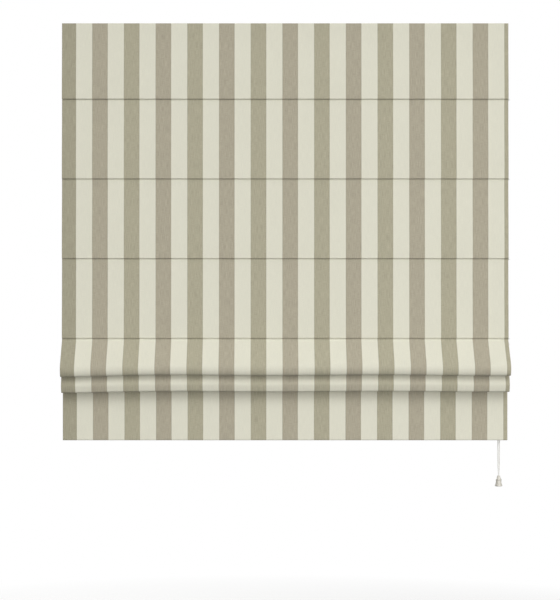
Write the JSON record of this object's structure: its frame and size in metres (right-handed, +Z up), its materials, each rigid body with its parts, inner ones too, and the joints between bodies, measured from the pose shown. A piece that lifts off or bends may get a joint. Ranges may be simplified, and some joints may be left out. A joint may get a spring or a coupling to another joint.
{
  "type": "roman blind",
  "caption": "Partly raised cord-operated roman blind: a head rail on clip brackets, striped cloth in flat panels with soft folds below, back rods with rings, and a cord lock.",
  "frame": {"origin": "on the fixing plane, the top of the brackets' plates, above the middle of the head rail", "axes": "+Z up, +X to the cord lock's end, the cloth's face looks along -Y"},
  "size_m": [1.3035, 0.0973, 1.352],
  "materials": {
    "cloth": "woven melange, cream and beige stripes",
    "rail_aluminium": "white powder coat",
    "bar_aluminium": "mill finish",
    "white_plastic": "moulded, satin",
    "roller_plastic": "moulded, smooth",
    "steel": "drawn",
    "bracket_steel": "zinc plated",
    "brass": "machined",
    "hook_tape": "hook tape",
    "loop_tape": "loop tape",
    "rod_fibreglass": "pultruded",
    "ring_plastic": "moulded, smooth",
    "bell_plastic": "moulded, satin",
    "cord": "braided polyester"
  },
  "bodies": {
    "root": {"shade_fabric": "cloth", "head_rail": "rail_aluminium", "rail_end_cap_left": "white_plastic", "rail_end_cap_right": "white_plastic", "hook_tape": "hook_tape", "loop_tape": "loop_tape", "bracket_left": "bracket_steel", "bracket_middle": "bracket_steel", "bracket_right": "bracket_steel", "cord_guide_1": "white_plastic", "cord_guide_2": "white_plastic", "cord_guide_3": "white_plastic", "cord_guide_4": "white_plastic", "guide_pin_1": "steel", "guide_pin_2": "steel", "guide_pin_3": "steel", "guide_pin_4": "steel", "cord_lock_case": "white_plastic", "lock_wheel_pin": "steel", "lift_cord_1": "cord", "lift_cord_2": "cord", "lift_cord_3": "cord", "lift_cord_4": "cord", "pull_cord_1": "cord", "pull_cord_2": "cord", "pull_cord_3": "cord", "pull_cord_4": "cord"},
    "rod_1_body": {"rod_1": "rod_fibreglass", "rod_cap_1": "white_plastic", "rings_1": "ring_plastic"},
    "rod_2_body": {"rod_2": "rod_fibreglass", "rod_cap_2": "white_plastic", "rings_2": "ring_plastic"},
    "rod_3_body": {"rod_3": "rod_fibreglass", "rod_cap_3": "white_plastic", "rings_3": "ring_plastic"},
    "rod_4_body": {"rod_4": "rod_fibreglass", "rod_cap_4": "white_plastic", "rings_4": "ring_plastic"},
    "rod_5_body": {"rod_5": "rod_fibreglass", "rod_cap_5": "white_plastic", "rings_5": "ring_plastic"},
    "rod_6_body": {"rod_6": "rod_fibreglass", "rod_cap_6": "white_plastic", "rings_6": "ring_plastic", "cord_orbs": "bell_plastic", "hem_bar": "bar_aluminium"},
    "bell_body": {"cord_bell": "bell_plastic"},
    "guide_roller_1_body": {"guide_roller_1": "roller_plastic"},
    "guide_roller_2_body": {"guide_roller_2": "roller_plastic"},
    "guide_roller_3_body": {"guide_roller_3": "roller_plastic"},
    "guide_roller_4_body": {"guide_roller_4": "roller_plastic"},
    "lock_wheel_body": {"lock_wheel": "roller_plastic"},
    "lock_roller_body": {"lock_roller": "brass"}
  },
  "joints": [
    {"name": "rod_1_lift", "type": "slide", "parent": "root", "child": "rod_1_body", "axis": [0, 0, 1], "range_m": [0, 0.166], "deforming": ["shade_fabric", "lift_cord_1", "lift_cord_2", "lift_cord_3", "lift_cord_4"]},
    {"name": "rod_2_lift", "type": "slide", "parent": "rod_1_body", "child": "rod_2_body", "axis": [0, 0, 1], "range_m": [0, 0.214], "deforming": ["shade_fabric", "lift_cord_1", "lift_cord_2", "lift_cord_3", "lift_cord_4"]},
    {"name": "rod_3_lift", "type": "slide", "parent": "rod_2_body", "child": "rod_3_body", "axis": [0, 0, 1], "range_m": [0, 0.214], "deforming": ["shade_fabric", "lift_cord_1", "lift_cord_2", "lift_cord_3", "lift_cord_4"]},
    {"name": "rod_4_lift", "type": "slide", "parent": "rod_3_body", "child": "rod_4_body", "axis": [0, 0, 1], "range_m": [0, 0.214], "deforming": ["shade_fabric", "lift_cord_1", "lift_cord_2", "lift_cord_3", "lift_cord_4"]},
    {"name": "rod_5_lift", "type": "slide", "parent": "rod_4_body", "child": "rod_5_body", "axis": [0, 0, 1], "range_m": [-0.214, 0], "deforming": ["shade_fabric", "lift_cord_1", "lift_cord_2", "lift_cord_3", "lift_cord_4"]},
    {"name": "rod_6_lift", "type": "slide", "parent": "rod_5_body", "child": "rod_6_body", "axis": [0, 0, 1], "range_m": [-0.182, 0.032], "deforming": ["shade_fabric", "lift_cord_1", "lift_cord_2", "lift_cord_3", "lift_cord_4"]},
    {"name": "bell_travel", "type": "slide", "parent": "root", "child": "bell_body", "axis": [0, 0, 1], "range_m": [-0.84, 0.396], "deforming": ["pull_cord_1", "pull_cord_2", "pull_cord_3", "pull_cord_4"]},
    {"name": "guide_roller_1_turn", "type": "hinge", "parent": "root", "child": "guide_roller_1_body", "pos_m": [-0.56465, 0, -0.023], "axis": [0, 1, 0], "continuous": true},
    {"name": "guide_roller_2_turn", "type": "hinge", "parent": "root", "child": "guide_roller_2_body", "pos_m": [-0.18465, 0, -0.023], "axis": [0, 1, 0], "continuous": true},
    {"name": "guide_roller_3_turn", "type": "hinge", "parent": "root", "child": "guide_roller_3_body", "pos_m": [0.19535, 0, -0.023], "axis": [0, 1, 0], "continuous": true},
    {"name": "guide_roller_4_turn", "type": "hinge", "parent": "root", "child": "guide_roller_4_body", "pos_m": [0.57535, 0, -0.023], "axis": [0, 1, 0], "continuous": true},
    {"name": "lock_wheel_turn", "type": "hinge", "parent": "root", "child": "lock_wheel_body", "pos_m": [0.62165, 0, -0.023], "axis": [0, 1, 0], "continuous": true},
    {"name": "lock_roller_slide", "type": "slide", "parent": "root", "child": "lock_roller_body", "axis": [0.3746, 0, 0.9272], "range_m": [0, 0.007]}
  ],
  "couplings": [
    {"joint": "guide_roller_1_turn", "follows": "bell_travel", "rad_per_m": -186.92},
    {"joint": "guide_roller_2_turn", "follows": "bell_travel", "rad_per_m": -186.92},
    {"joint": "guide_roller_3_turn", "follows": "bell_travel", "rad_per_m": -186.92},
    {"joint": "guide_roller_4_turn", "follows": "bell_travel", "rad_per_m": -186.92},
    {"joint": "lock_wheel_turn", "follows": "bell_travel", "rad_per_m": -186.92}
  ]
}
